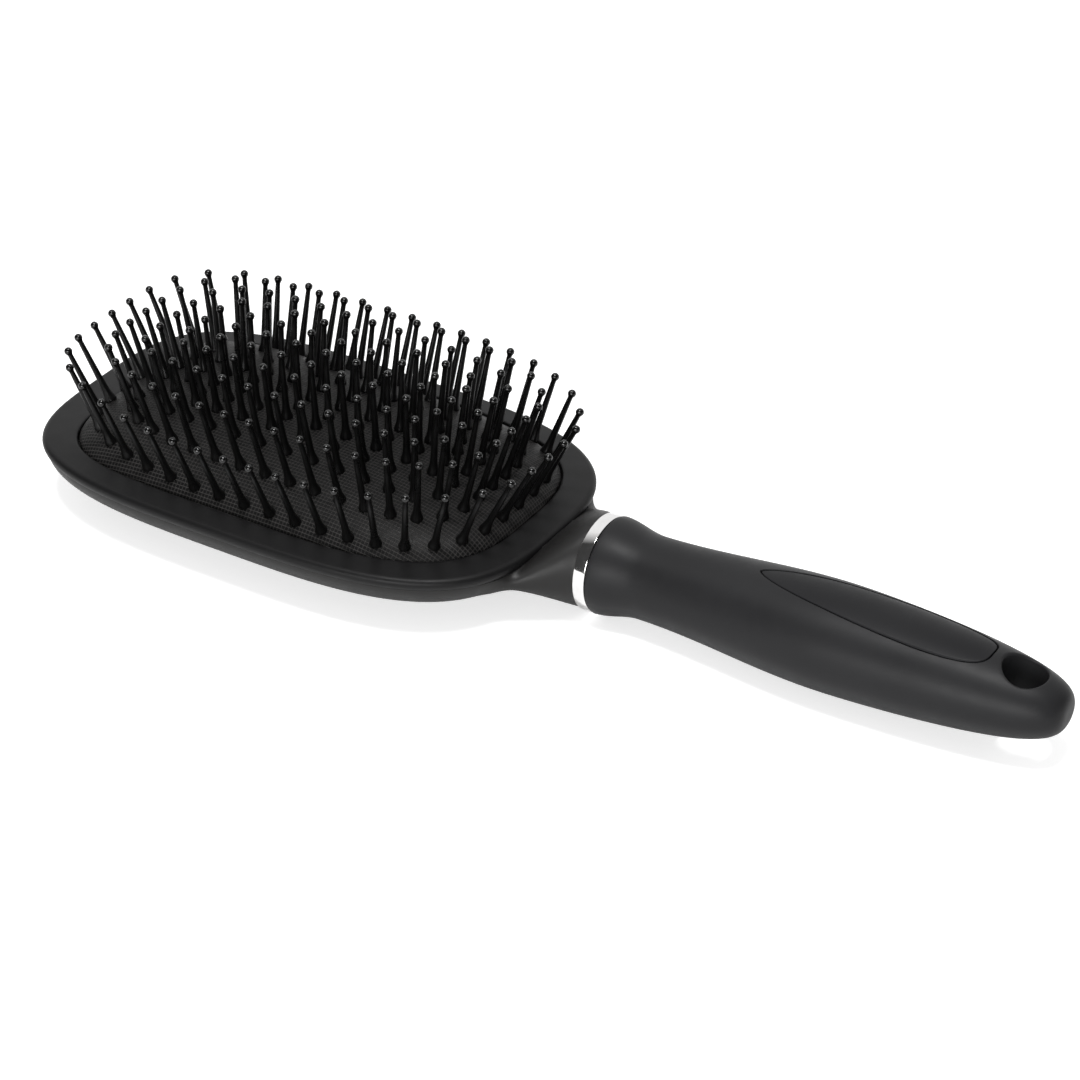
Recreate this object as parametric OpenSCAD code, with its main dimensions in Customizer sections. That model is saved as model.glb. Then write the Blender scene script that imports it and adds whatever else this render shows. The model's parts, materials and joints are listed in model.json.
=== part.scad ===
// Cushioned paddle brush: an open shell with a rim frame, a domed rubber pad that carries
// ball-tipped pins, a plated ring, and a soft handle with a thumb inlay and a hanging hole.
// The brush lies on its back. X runs from the head to the handle, Z is up, and the origin is
// on the resting plane under the middle of the head. Sizes are in millimetres.

/* [Head] */
// Length of the head
head_length = 122.2; // [112:0.2:134]
// Width of the head
head_width = 76.6; // [72:0.2:84]
// Squareness of the head's free end, where 2 is an ellipse
tip_squareness = 3.6; // [3:0.1:5]
// Squareness of the head's neck end
neck_squareness = 3.1; // [2.6:0.1:3.6]
// Height of the rim's outer edge above the table
rim_height = 14.9; // [13.8:0.1:16]
// Height of the rim frame's side, down to the parting line
rim_side = 2.8; // [2.4:0.1:3.4]
// Rise of the rim from its outer to its inner edge
rim_rise = 0.5; // [0.2:0.1:1.6]
// Radius of the rim's outer edge
rim_round = 1.3; // [0.8:0.1:1.6]
// How far the rim's side curves in on its way down to the parting line
rim_tuck = 0.6; // [0.3:0.1:1]
// Width of the flat strip along the middle of the back
keel_width = 8; // [7:0.2:14]
// Wall thickness of the shell
shell_wall = 2.2; // [1.6:0.1:2.4]
// Thickness of the rib that the pad sits on
seat_rib = 1.8; // [1.4:0.1:2]

/* [Cushion] */
// Width of the rim at the two ends of the head
rim_end_width = 8.4; // [7:0.1:10]
// Width of the rim at the sides of the head
rim_side_width = 6.4; // [5.8:0.1:8]
// Shift of the opening towards the neck
opening_shift = 1.2; // [0:0.1:1.6]
// Squareness of the opening's free end
opening_tip_squareness = 4.6; // [3.6:0.1:5]
// Squareness of the opening's neck end
opening_neck_squareness = 3.2; // [2.8:0.1:3.6]
// Height of the pad's crown above its margin
crown_height = 10.5; // [9:0.1:12]
// Height of the rubber's visible margin above the flange
margin_height = 0.1; // [0.05:0.05:0.4]
// Thickness of the rubber
pad_wall = 1.3; // [1:0.1:1.6]
// Width of the flange that the rim clamps
flange_width = 2.4; // [1.8:0.1:2.6]
// Thickness of the flange
flange_height = 1.4; // [1:0.1:1.6]

/* [Pins] */
// Length of a pin from the rubber to the middle of its ball
pin_length = 16; // [13:0.5:18]
// Radius of the ball tip
ball_radius = 0.9; // [0.8:0.05:1.1]
// Radius of the shaft under the ball
tip_radius = 0.52; // [0.45:0.01:0.6]
// Radius of the shaft above the foot
shaft_radius = 0.78; // [0.7:0.01:0.9]
// Radius of the flared foot
foot_radius = 1.25; // [1.1:0.05:1.4]
// Height of the flared foot
foot_height = 3.6; // [3:0.1:4.5]
// Radius of the pin's neck in the rubber
stem_radius = 0.6; // [0.5:0.05:0.7]
// Radius of the head under the rubber
anchor_radius = 1; // [0.9:0.05:1.2]
// Thickness of the head under the rubber
anchor_height = 0.6; // [0.5:0.05:0.8]

/* [Neck and ring] */
// Length of the neck from the end of the head to the ring
neck_length = 10; // [8.5:0.1:13]
// Radius of the neck at the ring
neck_radius = 10.3; // [9.8:0.1:10.5]
// Outer radius of the ring
ring_radius = 10.65; // [10.55:0.05:11]
// Width of the ring
ring_width = 2.85; // [2.2:0.05:3.5]
// Radius of the shoulder that carries the ring
shoulder_radius = 8.6; // [8:0.1:9]
// Radius of the tang inside the handle
tang_radius = 4.6; // [4:0.1:5]
// Length of the tang inside the handle
tang_length = 42; // [30:1:50]

/* [Handle] */
// Length of the handle behind the ring
handle_length = 105.1; // [98:0.1:115]
// Radius of the handle's front end
front_radius = 10.75; // [10.6:0.05:11]
// Radius of the waist
waist_radius = 9.05; // [8.7:0.05:9.6]
// Distance from the ring to the waist
waist_reach = 10.5; // [9:0.5:15]
// Radius of the belly
belly_radius = 10.95; // [10.6:0.05:11.5]
// Distance from the ring to the belly
belly_reach = 53.5; // [46:0.5:60]
// Rise of the handle's middle line at its end
handle_lift = 1.4; // [0:0.1:2]
// Width of the handle's belly as a share of its height
oval_share = 1.15; // [1.05:0.01:1.22]
// Radius of the hard core
core_radius = 6.4; // [6:0.1:6.8]
// Radius of the hanging hole
hole_radius = 4.7; // [4:0.1:5.2]
// Distance from the hanging hole's middle to the end of the handle
hole_setback = 10; // [9:0.1:12]

/* [Thumb inlay] */
// Length of the inlay
inlay_length = 52; // [44:1:54]
// Width of the inlay
inlay_width = 12.4; // [11:0.2:14]
// Distance from the inlay's round end to the hanging hole
inlay_gap = 2.4; // [1.6:0.1:4]
// Thickness of the grip between the core and the inlay
inlay_bed = 1.6; // [1:0.1:2]
// Width of the groove around the inlay
groove = 0.4; // [0.3:0.1:0.8]

/* [Hidden] */
PIN_NODES = [for (ring = ["outer", "second", "third", "fourth"])
    for (side = ["neck", "far", "tip", "near"]) str("pins_", ring, "_", side)];

// clearances and small sizes
overrun = 1;
seat_gap = 0.05;
stem_gap = 0.04;
pad_gap = 0.3;
flange_gap = 0.3;
parting_step = 0.12;
inner_round = 0.4;
ring_chamfer = 0.25;
front_round = 0.5;
ring_lift = 0.15;
hole_wall = 3;
core_round = 2;
core_collar = 2.4;
foot_seat = 0.28;
foot_bevel = 0.45;
anchor_gap = 0.25;
anchor_bevel = 0.35;

// neck
neck_flare = 2;
neck_rise = 1.5;
neck_rise_power = 2;
neck_cover = 0.12;
neck_top_power = 3;
neck_root_share = 0.8;
neck_root_shares = [0, 0.25, 0.5, 0.75, 1];
neck_shares = [0.06, 0.13, 0.22, 0.33, 0.46, 0.62, 0.8, 1];

// rim
rim_shares = [0, 0.45, 0.94];
tuck_share = 0.3;

// pins
flare_share = 0.62;
flare_rise_share = 0.45;
ring_path_points = 240;

// handle
tail_power = 1.54;
tail_ease = 0.28;
tail_share = 0.86;
tail_flat = 0.05;
front_shares = [0, 0.3, 1];
inlay_peak_share = 0.68;
inlay_point_ease = 0.62;
inlay_end_ease = 0.28;

// numbers of facets
around = 64;
curl_steps = 7;
neck_around = 36;
body_steps = 18;
tail_steps = 8;
inlay_steps = 20;
handle_around = 40;
fine = 48;
pin_fine = 24;

// opening in the rim
opening_length = head_length - 2 * rim_end_width;
opening_width = head_width - 2 * rim_side_width;

// width over which the back curls up to the parting line
back_curl = (head_width - keel_width) / 2 - rim_tuck - parting_step;

// heights above the table
parting = rim_height - rim_side;
flange_top = parting + flange_height;
margin = flange_top + margin_height;
axis_height = ring_radius + ring_lift;

stem_reach = 2 * pad_wall + anchor_gap;
inlay_floor = axis_height + core_radius + inlay_bed;

// places along the brush
neck_reach = head_length / 2 + neck_length;
neck_foot = head_length / 2 + parting_step;
neck_root = neck_foot - back_curl * neck_root_share;
ring_end = neck_reach + ring_width;
handle_end = ring_end + handle_length;
hole_x = handle_end - hole_setback;
inlay_end = hole_x - hole_radius - inlay_gap;
inlay_start = inlay_end - inlay_length;
core_end = hole_x - hole_radius - hole_wall;

// shares that shape the crown of the pad
crown_length_share = 1.124;
crown_width_share = 0.99;
crown_power = 2.56;
crown_ease = 0.71;
edge_power = 30;
edge_ease = 0.5;
crown_shares = [1, 0.98, 0.93, 0.82, 0.65, 0.43, 0.18];

// pins per ring, from the outside in, and how many of them stand at each end
ring_counts = [44, 40, 32, 24];
end_counts = [9, 9, 7, 5];
side_counts = [13, 11, 9, 7];
// sizes of each ring of pins as shares of the opening's half length and half width
ring_length_shares = [0.943, 0.816, 0.692, 0.579];
ring_width_shares = [0.911, 0.691, 0.472, 0.293];
ring_shift_shares = [0.004, 0.009, 0.012, 0.022];
ring_tip_squareness = [3.8, 4.2, 6.5, 13];
ring_neck_squareness = [3.4, 4.1, 8.2, 14.4];
// how much closer the pins stand at the ends of a ring than at its sides
crowding_shares = [-0.054, -0.114, -0.139, -0.274];
// the three rows inside the rings
row_count = 7;
row_length_share = 0.444;
row_width_share = 0.1435;
row_shift_share = 0.028;
// sideways reach of the leaning tips at the outer ring as shares of the pin's length
end_lean_share = 0.468;
side_lean_share = 0.4;
end_lean_power = 3.1;
// share of the sideways lean that the pins at the ends give up
end_fade_share = 0.65;
end_fade_power = 3;

function mix(a, b, share) = a + (b - a) * share;
function ease(share) = 0.5 - 0.5 * cos(180 * share);

// Radius of a rounded rectangle with two ends of its own squareness, in one direction
function rounded(half_l, half_w, tip_n, neck_n, angle) =
    let (c = cos(angle), s = sin(angle), n = c < 0 ? tip_n : neck_n)
    pow(pow(abs(c) / half_l, n) + pow(abs(s) / half_w, n), -1 / n);

function outline(half_l, half_w, shift, tip_n, neck_n, count) = [for (i = [0:count - 1])
    let (angle = 360 * i / count, r = rounded(half_l, half_w, tip_n, neck_n, angle))
    [shift + r * cos(angle), r * sin(angle)]];

function head_outline(inset) = outline(head_length / 2 - inset, head_width / 2 - inset, 0,
    tip_squareness, neck_squareness, around);

function opening_outline(grow, share = 1) = outline((opening_length / 2 + grow) * share,
    (opening_width / 2 + grow) * share, opening_shift, opening_tip_squareness,
    opening_neck_squareness, around);

function raised(points, z) = [for (p = points) [p[0], p[1], z]];
function between(a, b, share) = [for (i = [0:len(a) - 1]) mix(a[i], b[i], share)];

// Reach of a point towards the outline of an opening of these half sizes, 1 on the outline
function reach(p, half_l, half_w) =
    let (x = p[0] - opening_shift, n = x < 0 ? opening_tip_squareness : opening_neck_squareness)
    pow(pow(abs(x) / half_l, n) + pow(abs(p[1]) / half_w, n), 1 / n);

// Height of the rubber's upper face at a point
function crown(p) =
    let (dome = reach(p, opening_length / 2 * crown_length_share, opening_width / 2 * crown_width_share))
    let (edge = reach(p, opening_length / 2, opening_width / 2))
    margin + crown_height * pow(1 - pow(min(dome, 1), crown_power), crown_ease)
        * pow(1 - pow(min(edge, 1), edge_power), edge_ease);

function crowned(points, drop) = [for (p = points) [p[0], p[1], crown(p) - drop]];

// Solid through rings of points, bottom first and anticlockwise, with flat ends or as a loop
module loft(rings, loop = false) {
    n = len(rings[0]);
    m = len(rings);
    last = loop ? m - 1 : m - 2;
    walls = [for (k = [0:last], i = [0:n - 1])
        let (a = k * n + i, b = k * n + (i + 1) % n)
        let (c = ((k + 1) % m) * n + i, d = ((k + 1) % m) * n + (i + 1) % n)
        each [[a, c, d], [a, d, b]]];
    first_cap = [[for (i = [0:n - 1]) i]];
    last_cap = [[for (i = [n - 1:-1:0]) (m - 1) * n + i]];
    polyhedron([for (ring = rings) each ring], loop ? walls : concat(first_cap, walls, last_cap));
}

module along_x(x, z = axis_height) {
    translate([x, 0, z]) rotate([0, 90, 0]) children();
}

// Inside or outside of the shell, from its flat bottom up to the parting line
function bowl(inset, depth) = [for (k = [curl_steps:-1:0])
    let (angle = 90 * k / curl_steps)
    raised(head_outline(inset + back_curl * (1 - cos(angle))), parting - depth * sin(angle))];

// One upright oval section between a lowest and a highest point
function oval_section(x, half_w, low, high, count) = [for (i = [0:count - 1])
    let (angle = 360 * i / count)
    [x, half_w * cos(angle), (low + high) / 2 + (high - low) / 2 * sin(angle)]];

// Section of the neck: its sides and its underside open out towards the head
function neck_section(x, top) =
    let (share = (neck_reach - x) / (neck_reach - neck_root))
    oval_section(x, neck_radius + neck_flare * share,
        axis_height - neck_radius + neck_rise * pow(share, neck_rise_power), top, neck_around);

// The neck runs under the head first, then its top rises in a short curve to the ring
function neck_inside(share) = neck_section(mix(neck_root, neck_foot, share),
    parting - neck_cover * (2 - share));

function neck_outside(share) = neck_section(mix(neck_foot, neck_reach, share),
    mix(parting - neck_cover, axis_height + neck_radius, 1 - pow(1 - share, neck_top_power)));

module back_shell() {
    color([0.1, 0.1, 0.11]) {
        difference() {
            union() {
                loft(bowl(rim_tuck + parting_step, parting));
                loft(concat([for (share = neck_root_shares) neck_inside(share)],
                    [for (share = neck_shares) neck_outside(share)]));
            }
            loft(concat(bowl(rim_tuck + shell_wall, parting - shell_wall),
                [raised(head_outline(rim_tuck + shell_wall), parting + overrun)]));
        }
        seat();
        along_x(neck_reach - overrun) cylinder(h = ring_width + overrun, r = shoulder_radius, $fn = fine);
        along_x(ring_end - overrun) cylinder(h = tang_length + overrun, r = tang_radius, $fn = fine);
    }
}

// Rib that stands on the inside of the shell and carries the pad's flange
module seat() {
    intersection() {
        loft(bowl(rim_tuck + shell_wall / 2, parting - shell_wall / 2));
        linear_extrude(parting) difference() {
            polygon(opening_outline((flange_width + seat_rib) / 2));
            polygon(opening_outline((flange_width - seat_rib) / 2));
        }
    }
}

// Frame with a rounded outer edge, a top that rises inwards and a lip over the pad's flange
module rim_frame() {
    pocket = opening_outline(flange_width + flange_gap);
    shoulder = head_outline(rim_round);
    inner = opening_outline(0);
    edge = [for (angle = [0:30:60])
        raised(head_outline(rim_round * (1 - cos(angle))), rim_height - rim_round * (1 - sin(angle)))];
    color([0.12, 0.12, 0.13]) loft(concat(
        [raised(pocket, parting), raised(head_outline(rim_tuck), parting)],
        [raised(head_outline(rim_tuck * tuck_share), (parting + rim_height - rim_round) / 2)],
        edge,
        [for (share = rim_shares) raised(between(shoulder, inner, share), rim_height + rim_rise * share)],
        [raised(inner, rim_height + rim_rise - inner_round), raised(inner, flange_top)],
        [raised(pocket, flange_top)]), loop = true);
}

module cushion_pad() {
    last = len(crown_shares) - 1;
    inside = -pad_gap - pad_wall;
    color([0.06, 0.06, 0.065]) difference() {
        loft(concat(
            [for (k = [last:-1:0]) crowned(opening_outline(inside, crown_shares[k]), pad_wall)],
            [raised(opening_outline(inside), parting), raised(opening_outline(flange_width), parting)],
            [raised(opening_outline(flange_width), flange_top)],
            [raised(opening_outline(-pad_gap), flange_top)],
            [for (k = [0:last]) crowned(opening_outline(-pad_gap, crown_shares[k]), 0)]));
        for (p = ALL_PINS) on_pad(p) translate([0, 0, -stem_reach])
            cylinder(h = stem_reach + pad_wall, r = stem_radius + stem_gap, $fn = pin_fine);
    }
}

// Running length along a closed path, one value per point and the full length last
function running(path) = [for (i = 0, sum = 0; i <= len(path);
    sum = sum + norm(path[(i + 1) % len(path)] - path[i % len(path)]), i = i + 1) sum];

function place_on(path, sums, distance) =
    let (i = max([for (k = [0:len(path) - 1]) if (sums[k] <= distance) k]))
    mix(path[i], path[(i + 1) % len(path)], (distance - sums[i]) / (sums[i + 1] - sums[i]));

// Places of all the pins of one ring, from the neck end round by the far side
function ring_places(k) =
    let (path = outline(opening_length / 2 * ring_length_shares[k],
        opening_width / 2 * ring_width_shares[k],
        opening_shift + opening_length / 2 * ring_shift_shares[k],
        ring_tip_squareness[k], ring_neck_squareness[k], ring_path_points))
    let (sums = running(path), n = ring_counts[k])
    [for (i = [0:n - 1])
        let (turn = i / n, share = turn + crowding_shares[k] * sin(720 * turn) / (4 * PI))
        place_on(path, sums, share * sums[ring_path_points])];

function row_places(side) = [for (i = [0:row_count - 1])
    let (along = row_shift_share + row_length_share * (2 * i / (row_count - 1) - 1))
    [opening_shift + opening_length / 2 * along, opening_width / 2 * row_width_share * side]];

// Places of the pins on one side of a ring: 0 neck end, 1 far side, 2 free end, 3 near side
function side_places(k, side) =
    let (half_end = (end_counts[k] - 1) / 2, n = ring_counts[k])
    let (first = side % 2 == 0 ? side * n / 4 - half_end : (side - 1) * n / 4 + half_end + 1)
    let (count = side % 2 == 0 ? end_counts[k] : side_counts[k])
    [for (i = [0:count - 1]) RINGS[k][(first + i + n) % n]];

RINGS = [for (k = [0:3]) ring_places(k)];
ROWS = [for (side = [-1:1]) row_places(side)];
ALL_PINS = concat([for (ring = RINGS) each ring], [for (row = ROWS) each row]);

// Puts its children on the rubber at a pin's place, leaning outwards as the pin does
module on_pad(p) {
    x_share = (p[0] - opening_shift) / (opening_length / 2 * ring_length_shares[0]);
    y_share = p[1] / (opening_width / 2 * ring_width_shares[0]);
    dx = pin_length * end_lean_share * sign(x_share) * pow(abs(x_share), end_lean_power);
    dy = pin_length * side_lean_share * y_share * (1 - end_fade_share * pow(abs(x_share), end_fade_power));
    translate([p[0], p[1], crown(p)])
        rotate([0, asin(norm([dx, dy]) / pin_length), atan2(dy, dx)]) children();
}

module pin() {
    anchor_top = -pad_wall - anchor_gap;
    anchor_low = anchor_top - anchor_bevel - anchor_height;
    rotate_extrude($fn = pin_fine) polygon([
        [0, anchor_low],
        [anchor_radius, anchor_low],
        [anchor_radius, anchor_top - anchor_bevel],
        [stem_radius, anchor_top],
        [stem_radius, foot_seat],
        [foot_radius, foot_seat + foot_bevel],
        [mix(foot_radius, shaft_radius, flare_share),
         mix(foot_seat + foot_bevel, foot_height, flare_rise_share)],
        [shaft_radius, foot_height],
        [tip_radius, pin_length - ball_radius],
        [tip_radius, pin_length],
        [0, pin_length]]);
    translate([0, 0, pin_length]) sphere(r = ball_radius, $fn = pin_fine);
}

module pins(places) {
    color([0.05, 0.05, 0.055]) for (p = places) on_pad(p) pin();
}

module chrome_ring() {
    outer = ring_radius - ring_chamfer;
    bore = shoulder_radius + seat_gap;
    first = seat_gap;
    last = ring_width - seat_gap;
    color([0.82, 0.82, 0.84]) along_x(neck_reach) rotate_extrude($fn = fine) polygon([
        [bore, first],
        [outer, first],
        [ring_radius, first + ring_chamfer],
        [ring_radius, last - ring_chamfer],
        [outer, last],
        [bore, last]]);
}

// Half profile of the hard core, grown all over for the space that it fills
function core_profile(grow, front) =
    let (length = core_end - ring_end + grow, r = core_radius + grow)
    concat([[0, front], [shoulder_radius + grow, front], [shoulder_radius + grow, core_collar + grow],
        [r, core_collar + grow + shoulder_radius - core_radius]],
        [for (angle = [0:30:90])
            [r - core_round * (1 - cos(angle)), length - core_round * (1 - sin(angle))]],
        [[0, length]]);

module handle_core() {
    color([0.16, 0.16, 0.17]) along_x(ring_end) difference() {
        rotate_extrude($fn = fine) polygon(core_profile(0, 0));
        translate([0, 0, -overrun])
            cylinder(h = tang_length + 2 * overrun, r = tang_radius + seat_gap, $fn = fine);
    }
}

// Height radius of the handle at a distance behind the ring
function handle_radius(x) = x < waist_reach
    ? mix(front_radius, waist_radius, ease(x / waist_reach))
    : x < belly_reach
    ? mix(waist_radius, belly_radius, ease((x - waist_reach) / (belly_reach - waist_reach)))
    : belly_radius * pow(1 - pow((x - belly_reach) / (handle_length - belly_reach), tail_power), tail_ease);

function front_cut(x) = x >= front_round ? 0
    : front_round * (1 - sqrt(1 - pow(1 - x / front_round, 2)));

function handle_section(x) =
    let (share = x / handle_length, r = handle_radius(x) - front_cut(x))
    let (middle = axis_height + handle_lift * share * (2 - share))
    let (oval = 1 + (oval_share - 1) * ease(min(x / belly_reach, 1)))
    oval_section(ring_end + x, r * oval, middle - r, middle + r, handle_around);

module handle_body() {
    tail_start = handle_length * tail_share;
    loft(concat(
        [for (share = front_shares) handle_section(seat_gap + front_round * share)],
        [for (k = [1:body_steps]) handle_section(mix(front_round, tail_start, k / body_steps))],
        [for (k = [1:tail_steps]) handle_section(
            mix(tail_start, handle_length - tail_flat, sin(90 * k / tail_steps)))]));
}

// Half width of the teardrop as a share of its widest place
function inlay_share(share) =
    let (front = share < inlay_peak_share)
    let (near = front ? share / inlay_peak_share : (1 - share) / (1 - inlay_peak_share))
    pow(1 - pow(1 - near, 2), front ? inlay_point_ease : inlay_end_ease);

// Teardrop seen from above, pointed towards the ring
function inlay_points(grow) =
    let (sides = [for (k = [0:inlay_steps]) let (share = pow(sin(90 * k / inlay_steps), 2))
        [mix(inlay_start - grow, inlay_end + grow, share),
         (inlay_width / 2 + grow) * inlay_share(share)]])
    concat(sides, [for (k = [inlay_steps - 1:-1:1]) [sides[k][0], -sides[k][1]]]);

module inlay_column(grow) {
    translate([0, 0, inlay_floor]) linear_extrude(handle_length) polygon(inlay_points(grow));
}

module handle_grip() {
    color([0.2, 0.2, 0.21]) difference() {
        handle_body();
        along_x(ring_end) rotate_extrude($fn = fine) polygon(core_profile(seat_gap, -overrun));
        inlay_column(groove);
        hanging_hole();
    }
}

module hanging_hole() {
    translate([hole_x, 0, axis_height - 2 * belly_radius])
        cylinder(h = 4 * belly_radius, r = hole_radius, $fn = fine);
}

module thumb_inlay() {
    color([0.17, 0.17, 0.18]) intersection() {
        handle_body();
        translate([0, 0, seat_gap]) inlay_column(0);
    }
}

back_shell();
rim_frame();
cushion_pad();
chrome_ring();
handle_core();
handle_grip();
thumb_inlay();
pins(ROWS[0]);  // pins_row_near
pins(ROWS[1]);  // pins_row_middle
pins(ROWS[2]);  // pins_row_far
for (k = [0:3], side = [0:3])
    pins(side_places(k, side));
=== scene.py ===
# Cushioned paddle brush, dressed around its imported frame: camera, shapes, materials and soft light.
import json
import math

import bmesh
import bpy
import numpy as np
from mathutils import Matrix, Vector


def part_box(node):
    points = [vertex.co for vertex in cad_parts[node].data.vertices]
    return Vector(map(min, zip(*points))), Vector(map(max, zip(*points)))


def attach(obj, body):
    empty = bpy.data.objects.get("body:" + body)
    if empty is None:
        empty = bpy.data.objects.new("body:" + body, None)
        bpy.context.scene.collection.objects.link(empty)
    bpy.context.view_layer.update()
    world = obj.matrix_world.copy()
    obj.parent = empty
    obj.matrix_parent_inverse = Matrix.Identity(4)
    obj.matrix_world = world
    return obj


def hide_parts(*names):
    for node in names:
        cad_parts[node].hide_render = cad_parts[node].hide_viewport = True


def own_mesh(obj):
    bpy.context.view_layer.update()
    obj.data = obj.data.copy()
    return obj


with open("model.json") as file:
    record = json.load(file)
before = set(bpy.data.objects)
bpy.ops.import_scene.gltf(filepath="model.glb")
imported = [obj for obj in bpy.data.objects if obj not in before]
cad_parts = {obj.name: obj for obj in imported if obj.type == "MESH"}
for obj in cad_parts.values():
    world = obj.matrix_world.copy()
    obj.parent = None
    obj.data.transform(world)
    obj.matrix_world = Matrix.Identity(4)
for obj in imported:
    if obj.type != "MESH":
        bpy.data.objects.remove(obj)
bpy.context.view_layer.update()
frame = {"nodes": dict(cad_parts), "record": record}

# Shapes are made in millimetres, in the frame's own axes, and brought to metres when they are placed
MM = 0.001


def box_mm(node):
    """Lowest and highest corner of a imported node's box."""
    low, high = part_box(node)
    return [v / MM for v in low], [v / MM for v in high]


# Camera, at the photograph's viewing angle
CAMERA_AT = Vector((0.38679, -0.52864, 0.41588))
CAMERA_YAW = -0.5582
CAMERA_PITCH = 0.5761
SENSOR_WIDTH = 36.0
LENS = 116.94


def make_camera():
    data = bpy.data.cameras.new("camera")
    data.sensor_width = SENSOR_WIDTH
    data.lens = LENS
    data.clip_start = 0.01
    data.clip_end = 50
    camera = bpy.data.objects.new("camera", data)
    bpy.context.scene.collection.objects.link(camera)
    forward = Vector((math.sin(CAMERA_YAW) * math.cos(CAMERA_PITCH),
                      math.cos(CAMERA_YAW) * math.cos(CAMERA_PITCH), -math.sin(CAMERA_PITCH)))
    right = Vector((math.cos(CAMERA_YAW), -math.sin(CAMERA_YAW), 0))
    up = right.cross(forward)
    turn = Matrix((right, up, -forward)).transposed().to_4x4()
    camera.matrix_world = Matrix.Translation(CAMERA_AT) @ turn
    bpy.context.scene.camera = camera


make_camera()

# Sizes read from the frame
RIM_LOW, RIM_HIGH = box_mm("rim_frame")
PAD_LOW, PAD_HIGH = box_mm("cushion_pad")
RING_LOW, RING_HIGH = box_mm("chrome_ring")
GRIP_HIGH = box_mm("handle_grip")[1]
INLAY_LOW, INLAY_HIGH = box_mm("thumb_inlay")

# the head: its outline's squareness at the tip and at the neck
HEAD_LENGTH = RIM_HIGH[0] - RIM_LOW[0]
HEAD_WIDTH = RIM_HIGH[1] - RIM_LOW[1]
TIP_N, NECK_N = 3.6, 3.1
PARTING = RIM_LOW[2]
# the rim: its side, the rise of its land towards the pad, and the steps of its foot as (inset, rise)
RIM_SIDE = 2.8
RIM_HEIGHT = PARTING + RIM_SIDE
RIM_RISE = 0.5
RIM_ROUND = 1.3
RIM_TUCK = 0.6
RIM_FOOT = ((0.5, 0.0), (0.14, 0.03), (0.04, 0.12))
LAND_SHARE = 0.93
TUCK_POWER = 1.74
INNER_ROUND = 0.4
POCKET_ROOM = 0.3
# the shell's bowl, set in from the rim by a small step, and curled from its keel up
SHELL_WALL = 2.2
PARTING_STEP = 0.12
KEEL_WIDTH = 8.0
SHELL_INSET = RIM_TUCK + PARTING_STEP
BACK_CURL = (HEAD_WIDTH - KEEL_WIDTH) / 2 - SHELL_INSET

# the opening for the pad, and the pad's clamped flange
FLANGE_WIDTH = 2.4
FLANGE_HEIGHT = 1.4
OPENING_LENGTH = PAD_HIGH[0] - PAD_LOW[0] - 2 * FLANGE_WIDTH
OPENING_WIDTH = PAD_HIGH[1] - PAD_LOW[1] - 2 * FLANGE_WIDTH
OPENING_SHIFT = (PAD_HIGH[0] + PAD_LOW[0]) / 2
OPEN_TIP_N, OPEN_NECK_N = 4.6, 3.2
FLANGE_TOP = PARTING + FLANGE_HEIGHT
# the pad's dome: a wide crown that falls steeply at its edge
MARGIN = FLANGE_TOP + 0.1
CROWN = 10.5
CROWN_LENGTH_SHARE, CROWN_WIDTH_SHARE = 1.124, 0.99
CROWN_POWER, CROWN_EASE = 2.56, 0.71
EDGE_POWER, EDGE_EASE = 30, 0.5
PAD_GAP = 0.3
PAD_WALL = 1.3
SKIN_GAP = 0.02
# the moulded mesh: the pitch of its threads, and the width that its texture coordinates span
MESH_PITCH = 0.85
THREAD_SPAN = 200.0

# the ring, and the small gaps at its two faces
RING_RADIUS = (RING_HIGH[2] - RING_LOW[2]) / 2
AXIS = (RING_HIGH[2] + RING_LOW[2]) / 2
SEAT_GAP = 0.05
RING_START = RING_LOW[0] - SEAT_GAP
RING_END = RING_HIGH[0] + SEAT_GAP
RING_BORE = 8.65
# the neck, an oval that opens out from the ring to its root inside the head
NECK_RADIUS = 10.3
NECK_FLARE = 1.0
NECK_RISE, NECK_RISE_POWER = 6.0, 1.2
NECK_COVER = 0.12
NECK_TOP_POWER = 1.63
NECK_ROOT_SHARE = 0.8
NECK_FILLET = 2.4
# the web that widens the neck towards the head, in shares of the way from the ring to the rim
WEB_WIDTH, WEB_WIDTH_POWER = 6.2, 1.03
WEB_RISE, WEB_RISE_POWER = 5.9, 1.35
WEB_STEP, WEB_TOP_POWER = 1.9, 1.46
WEB_BOX = 0.46
WEB_LEVEL, WEB_EASE = 1.12, 0.12
WEB_END = 1.5
WEB_INSIDE = 10
WEB_FILLET, WEB_FADE = 2.0, 8
# where the fillets start and how far they take to grow: under the rim, over the keel and along the neck
TOP_FADE = (2.4, 3)
KEEL_FADE = (1.5, 4)
NECK_FADE = (2, 6)
LEAST_FILLET = 0.05
LEAST_SLOPE = 0.3
# the grid that finds the shell's skin starts so that no row of its corners lies in the flat back
SKIN_PITCH = 0.6
GRID_FOOT = -1.17
STUB = 3.0
KEEL_EDGE = 0.12
PAST_RIM = 3
LID_GAP = 0.01

# the handle, in distances from the ring: its front, its waist, its belly and its tail
TAIL_SHARE, TAIL_ROOM, TAIL_CUT = 0.8, 0.05, 0.02
HANDLE_END = GRIP_HIGH[0] + TAIL_ROOM
HANDLE_LENGTH = HANDLE_END - RING_END
FRONT_RADIUS, WAIST_RADIUS, BELLY_RADIUS = 10.75, 9.05, 10.95
WAIST_REACH, BELLY_REACH = 10.5, 53.5
HANDLE_LIFT = 1.4
OVAL_SHARE = 1.15
TAIL_POWER, TAIL_EASE = 1.54, 0.28
FRONT_ROUND = 0.5
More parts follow.
